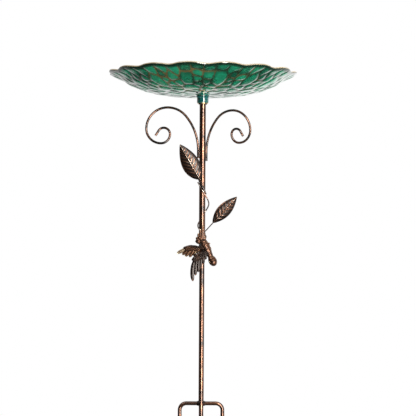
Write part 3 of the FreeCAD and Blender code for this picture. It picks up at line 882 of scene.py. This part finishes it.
class FEEDER_OT_bird(bpy.types.Operator):
    """Build the cast bird from its body, beak, tail and feathered wings"""

    bl_idname = "feeder.bird"
    bl_label = "Bird"

    def execute(self, context):
        finish = bird_finish()
        self.add_part("cast_bird_body", self.body, finish, ["bird_body"])
        self.add_part("cast_bird_beak", self.beak, finish, ["bird_beak"])
        self.add_part("cast_bird_tail", self.tail, finish, ["bird_tail"])
        self.add_part("cast_wing_upper", self.upper_wing, finish, ["bird_wing_upper"])
        self.add_part("cast_wing_lower", self.lower_wing, finish, ["bird_wing_lower"])
        return {"FINISHED"}

    def add_part(self, name, build, finish, replaced):
        bm = bmesh.new()
        ridge = bm.verts.layers.float.new("ridge")
        band = bm.verts.layers.float.new("band")
        build(bm, ridge, band)
        make_piece(name, to_mesh(name, bm), finish, "upper_pole", replaced)

    def body(self, bm, ridge, band):
        add_body(bm, ridge, band)
        for side in (-1, 1):
            eye = BIRD_HEAD + Vector((side * 4.4, -3.6, -1.8))
            add_ball(bm, ridge, eye, 1.25, 0.9)
        lean = Vector((0.3, -1, 0.2))
        for root, tip in BODY_TUFTS:
            start = (root[0], -12.0, root[1])
            end = (tip[0], -12.6, tip[1])
            add_feather(bm, ridge, start, end, 2.2, cup=0.3, facing=lean, thickness=0.9 * MM)

    def beak(self, bm, ridge, band):
        outline = [(0.0, 0.0), (0.0, 1.5)]
        for k in range(1, BEAK_POINTS + 1):
            share = k / BEAK_POINTS
            outline.append((BEAK_LENGTH * k / BEAK_POINTS, 1.5 * (1 - share) ** 0.55 * 0.75 + 0.36))
        outline.append((BEAK_LENGTH + 0.3, 0.0))
        add_turned(bm, outline, BEAK_POINTS)
        for vert in bm.verts:
            vert.co.z -= 1.1 * MM * (vert.co.x / (BEAK_LENGTH * MM)) ** 2
            vert[ridge] = 0.35
        way = Vector((0.04, -1, -0.1)).normalized()
        base = BIRD_HEAD + way * (HEAD_HALF[1] - 1.6)
        place = axes_between(base * MM, (base + way) * MM, Vector((0, 0, 1)))
        bmesh.ops.transform(bm, matrix=place, verts=bm.verts)

    def tail(self, bm, ridge, band):
        fan = (
            ((-4.0, 243.5), (-9.2, 248.6), 5.2),
            ((-3.6, 243.5), (-8.0, 253.4), 5.0),
            ((-2.8, 243.5), (-5.4, 259.0), 4.8),
            ((2.6, 245.0), (4.9, 254.2), 4.2),
            ((2.0, 245.0), (3.7, 261.0), 4.2),
            ((-1.4, 244.0), (-2.2, 264.8), 4.6),
            ((0.8, 244.5), (2.2, 267.0), 4.2),
            ((-0.2, 244.0), (1.2, 271.2), 4.2),
        )
        for k, (root, tip, width) in enumerate(fan):
            depth = -9.3 - 0.16 * k
            start = (root[0], depth - 0.4, root[1])
            add_feather(bm, ridge, start, (tip[0], depth, tip[1]), width, rubbed=0.2)

    def upper_wing(self, bm, ridge, band):
        primaries = (
            ((-2.6, 238.0), (-8.6, 228.6), 4.6),
            ((-4.6, 238.2), (-13.4, 225.2), 5.0),
            ((-8.0, 238.4), (-18.9, 223.0), 5.2),
            ((-11.0, 238.8), (-25.1, 223.9), 5.2),
            ((-14.0, 239.2), (-29.6, 226.4), 5.2),
            ((-16.5, 239.2), (-37.3, 228.5), 5.4),
        )
        for k, (root, tip, width) in enumerate(primaries):
            rear = -14.6 + 0.115 * -root[0]
            fore = -14.4 + 0.105 * -tip[0]
            start = (root[0], rear + 0.22 * k, root[1])
            end = (tip[0], fore + 0.22 * k, tip[1])
            add_feather(bm, ridge, start, end, width, rubbed=0.9 if k == len(primaries) - 1 else 0.4)
        for row, (rise, size) in enumerate(((236.6, 5.6), (238.8, 4.4))):
            for k in range(8):
                x = -5.5 - 2.35 * k - row
                z = rise - 0.02 * (x + 14) ** 2
                y = -15.2 + 0.11 * -x - 0.5 * row
                end = (x - size * 0.62, y + 0.2, z - size * 0.72)
                add_feather(bm, ridge, (x, y, z), end, 3.0, cup=0.35, rubbed=0.15)
        arm = ((-1.6, 238.6), (-8.0, 239.8), (-14.0, 240.7), (-20.0, 240.4), (-26.5, 237.6))
        lean = Vector((0.0, -1, 0.55))
        for (x0, z0), (x1, z1) in zip(arm, arm[1:]):
            start = (x0 + 1.2, -15.4 + 0.11 * -x0, z0 - 0.5)
            end = (x1 - 1.6, -15.4 + 0.11 * -x1, z1 - 0.7)
            add_feather(bm, ridge, start, end, 3.2, cup=0.8, facing=lean)
        for rise in (237.4, 235.8):
            start = (4.6, -15.2, rise)
            add_feather(bm, ridge, start, (-4.4, -15.3, rise + 0.6), 3.6, cup=0.6, rubbed=0.1)

    def lower_wing(self, bm, ridge, band):
        primaries = (
            ((4.6, 227.6), (5.4, 219.8), 4.6, 0.0),
            ((2.4, 226.8), (1.8, 213.6), 5.0, 0.0),
            ((-0.4, 226.0), (-2.2, 206.6), 5.2, 0.3),
            ((-3.4, 225.2), (-5.4, 200.8), 5.4, 0.8),
            ((-6.4, 224.4), (-9.4, 196.0), 5.6, 1.3),
            ((-9.6, 223.4), (-13.4, 187.2), 6.0, 2.4),
        )
        for k, (root, tip, width, bow) in enumerate(primaries):
            back = -20.2 + 0.12 * (SHOULDER_LEVEL - root[1]) + 0.24 * k
            ahead = -20.2 + 0.12 * (SHOULDER_LEVEL - tip[1]) + 0.24 * k
            start = (root[0], back, root[1])
            add_feather(bm, ridge, start, (tip[0], ahead, tip[1]), width, -bow, rubbed=-0.2)
        for row, (drop, size) in enumerate(((0.0, 6.4), (-2.6, 5.0))):
            for k in range(7):
                x = 4.6 - 2.5 * k
                z = 228.2 - 0.42 * (4.6 - x) - drop
                y = -20.7 + 0.12 * (SHOULDER_LEVEL - z) - 0.5 * row
                end = (x - 0.8, y + 0.6, z - size)
                add_feather(bm, ridge, (x, y, z), end, 3.4, cup=0.35, rubbed=-0.1)
        arm = ((5.2, 231.8), (-1.0, 230.2), (-6.4, 227.6), (-11.0, 224.6), (-13.8, 219.0))
        lean = Vector((-0.2, -1, 0.5))
        for (x0, z0), (x1, z1) in zip(arm, arm[1:]):
            start = (x0 + 1.0, -21.0 + 0.12 * (SHOULDER_LEVEL - z0), z0)
            end = (x1 - 1.2, -21.0 + 0.12 * (SHOULDER_LEVEL - z1), z1 - 0.4)
            add_feather(bm, ridge, start, end, 3.6, cup=0.8, facing=lean)
        for rise in (230.2, 227.4):
            start = (10.6, -16.0, rise)
            add_feather(bm, ridge, start, (1.6, -20.0, rise - 0.8), 4.2, cup=0.6, rubbed=-0.1)


# ---------------------------------------------------------------- finishes of the solid nodes


class FEEDER_OT_finishes(bpy.types.Operator):
    """Give the tubes, scrolls, wires, welds and fittings their finishes"""

    bl_idname = "feeder.finishes"
    bl_label = "Metal finishes"

    def execute(self, context):
        palette = colours()
        pole = aged_metal("pole_finish", 0.51, (1.0, 1.0, 0.04), bump=0.006)
        wire = aged_metal("wire_finish", 0.47, (0.3, 0.3, 0.3), bump=0.005)
        dark = aged_metal("stem_finish", 0.42, (1.0, 1.0, 0.4))
        grey = aged_metal("vine_finish", 0.68, (1.0, 1.0, 0.4), high=(0.5, 0.48, 0.45))
        weld = aged_metal("weld_finish", 0.4, EVEN_GRAIN, bump=0.4)
        steel = worn_coat("plated_steel", (0.5, 0.5, 0.49), 0.25, 1.0)
        finishes = {
            pole: ("upper_tube", "middle_tube", "stake_rod", "side_tine_left", "side_tine_right"),
            wire: ("scroll_left", "scroll_right"),
            dark: ("leaf_stem_left",),
            grey: ("vine_wire", "leaf_stem_right"),
            weld: ("scroll_welds", "fork_welds"),
            steel: ("top_stud", "top_plug"),
            self.socket_enamel(): ("dish_socket",),
            worn_coat("turned_brass", palette.brass, 0.22, 1.0): ("thread_insert",),
            worn_coat("washer_rubber", (0.02, 0.02, 0.02), 0.6): ("seat_washer",),
            worn_coat("cured_adhesive", (0.12, 0.2, 0.16), 0.3): ("adhesive_pad",),
        }
        for material, names in finishes.items():
            for name in names:
                mesh = frame["nodes"][name].data
                mesh.materials.clear()
                mesh.materials.append(material)
        return {"FINISHED"}

    def socket_enamel(self):
        material = worn_coat("socket_enamel", colours().socket_teal, 0.12)
        set_coat(first_node(material.node_tree, "BSDF_PRINCIPLED"), 1.0, 0.05)
        return material


# ---------------------------------------------------------------- stage


def floor_material():
    """A matt pale floor that fades out at its edge and can be seen through from below."""
    material, helper, surface, place = new_material("studio_floor")
    shade = helper.mix(helper.noise(place, 3.0), tuple(colours().floor), (0.8, 0.8, 0.79))
    helper.put(surface.inputs["Base Color"], shade)
    surface.inputs["Roughness"].default_value = 0.7
    away = helper.add("ShaderNodeVectorMath", {0: place}, operation="LENGTH").outputs["Value"]
    gone = helper.remap(away, *FLOOR_FADE)
    behind = helper.add("ShaderNodeNewGeometry").outputs["Backfacing"]
    hidden = helper.math("MAXIMUM", gone, behind)
    clear = helper.add("ShaderNodeBsdfTransparent").outputs[0]
    both = helper.add("ShaderNodeMixShader", {0: hidden, 1: surface.outputs[0], 2: clear})
    output = first_node(material.node_tree, "OUTPUT_MATERIAL")
    helper.put(output.inputs["Surface"], both.outputs[0])
    return material


def soft_light(name, place, target, size, power, shade=(1.0, 1.0, 1.0)):
    """A rectangular lamp at place, turned to target, with its size in metres and power in watts."""
    lamp = bpy.data.lights.new(name, "AREA")
    lamp.shape = "RECTANGLE"
    lamp.size, lamp.size_y = size
    lamp.energy = power
    lamp.color = shade
    holder = bpy.data.objects.new(name, lamp)
    holder.location = place
    holder.rotation_euler = (Vector(target) - Vector(place)).to_track_quat("-Z", "Y").to_euler()
    bpy.context.scene.collection.objects.link(holder)
    return holder


class FEEDER_OT_stage(bpy.types.Operator):
    """Set the pale floor, the soft lights, the surroundings and the camera"""

    bl_idname = "feeder.stage"
    bl_label = "Stage"

    def execute(self, context):
        self.floor()
        self.surroundings()
        self.lights()
        self.camera()
        context.scene.view_settings.view_transform = "Standard"
        return {"FINISHED"}

    def floor(self):
        bm = bmesh.new()
        bmesh.ops.create_circle(bm, cap_ends=True, segments=96, radius=FLOOR_RADIUS)
        bmesh.ops.translate(bm, verts=bm.verts, vec=(0, 0, CAD_BOX[0][2] - FLOOR_DROP))
        mesh = to_mesh("studio_floor", bm)
        mesh.materials.append(floor_material())
        plane = bpy.data.objects.new("studio_floor", mesh)
        bpy.context.scene.collection.objects.link(plane)
        plane.visible_glossy = False

    def surroundings(self):
        """White behind the object, and a shaped studio room for light and reflections."""
        world = bpy.data.worlds.new("studio")
        bpy.context.scene.world = world
        world.use_nodes = True
        helper = Shader(world.node_tree)
        sky = first_node(world.node_tree, "BACKGROUND")
        way = helper.add("ShaderNodeTexCoord").outputs["Generated"]
        parts = helper.add("ShaderNodeSeparateXYZ", {0: way}).outputs
        right = helper.remap(parts["X"], 0.25, 0.6, 0.0, 0.4)
        behind = helper.remap(parts["Y"], 0.1, 0.45)
        sweep = helper.math("MULTIPLY", behind, helper.remap(parts["Z"], -0.62, -0.3))
        sweep = helper.math("MULTIPLY", sweep, helper.remap(parts["X"], -0.3, 0.2, 0.45, 1.2))
        level_band = helper.remap(parts["Z"], -0.7, -0.35)
        above = helper.remap(parts["Z"], 0.25, 0.8, 0.0, 0.7)
        bright = helper.math("MAXIMUM", helper.math("MULTIPLY", right, level_band), sweep)
        bright = helper.math("ADD", helper.math("MAXIMUM", bright, above), 0.03)
        seen = helper.add("ShaderNodeLightPath").outputs["Is Camera Ray"]
        helper.put(sky.inputs["Color"], helper.mix(seen, bright, (1.0, 1.0, 1.0)))
        sky.inputs["Strength"].default_value = 1.0

    def lights(self):
        warm = (1.0, 0.97, 0.9)
        strip = soft_light("key_strip", (0.6, -1.6, 0.15), (0, 0, 0.15), (0.42, 1.3), 56, warm)
        strip.visible_diffuse = False
        soft_light("top_box", (0.1, -0.2, 1.7), (0, 0, 0.3), (1.2, 1.2), 12)
        soft_light("upper_left", (-0.7, -1.1, 1.25), (0, 0, 0.3), (0.5, 0.5), 6)
        front = soft_light("front_fill", (1.2, -1.2, 0.4), (0, 0, 0.3), (0.7, 0.7), 14)
        front.visible_glossy = False
        bounce = soft_light("floor_bounce", (0.5, -0.6, -0.1), (0, 0, 0.5), (0.7, 0.5), 9)
        bounce.visible_glossy = False

    def camera(self):
        lens = bpy.data.cameras.new("front_camera")
        lens.sensor_width = 36
        lens.lens = CAMERA_LENS
        lens.clip_start = 0.05
        lens.clip_end = 50
        holder = bpy.data.objects.new("front_camera", lens)
        holder.location = CAMERA_PLACE
        holder.rotation_euler = (math.pi / 2, math.radians(CAMERA_ROLL), 0)
        bpy.context.scene.collection.objects.link(holder)
        bpy.context.scene.camera = holder


# ---------------------------------------------------------------- panel and registration


class FEEDER_PT_panel(bpy.types.Panel):
    """Sizes, colours and build steps of the feeder"""

    bl_idname = "FEEDER_PT_panel"
    bl_label = "Bird feeder"
    bl_space_type = "VIEW_3D"
    bl_region_type = "UI"
    bl_category = "Feeder"

    def draw(self, context):
        for group in (context.scene.feeder_sizes, context.scene.feeder_colours):
            box = self.layout.box()
            for name in group.__annotations__:
                box.prop(group, name)
        for step in STEPS:
            self.layout.operator(step.bl_idname)


STEPS = (FEEDER_OT_dish, FEEDER_OT_finishes, FEEDER_OT_leaves, FEEDER_OT_bird, FEEDER_OT_stage)
CLASSES = (FeederSizes, FeederColours, *STEPS, FEEDER_PT_panel)


def register():
    for item in CLASSES:
        bpy.utils.register_class(item)
    bpy.types.Scene.feeder_sizes = PointerProperty(type=FeederSizes)
    bpy.types.Scene.feeder_colours = PointerProperty(type=FeederColours)


def unregister():
    del bpy.types.Scene.feeder_colours
    del bpy.types.Scene.feeder_sizes
    for item in reversed(CLASSES):
        bpy.utils.unregister_class(item)


def main():
    register()
    for item in list(bpy.context.scene.objects):
        if item.type in {"CAMERA", "LIGHT"} or item.name == "Cube":
            bpy.data.objects.remove(item)
    for step in STEPS:
        group, name = step.bl_idname.split(".")
        if getattr(getattr(bpy.ops, group), name)() != {"FINISHED"}:
            raise RuntimeError(f"{step.bl_label} was not built")


if __name__ == "__main__":
    main()
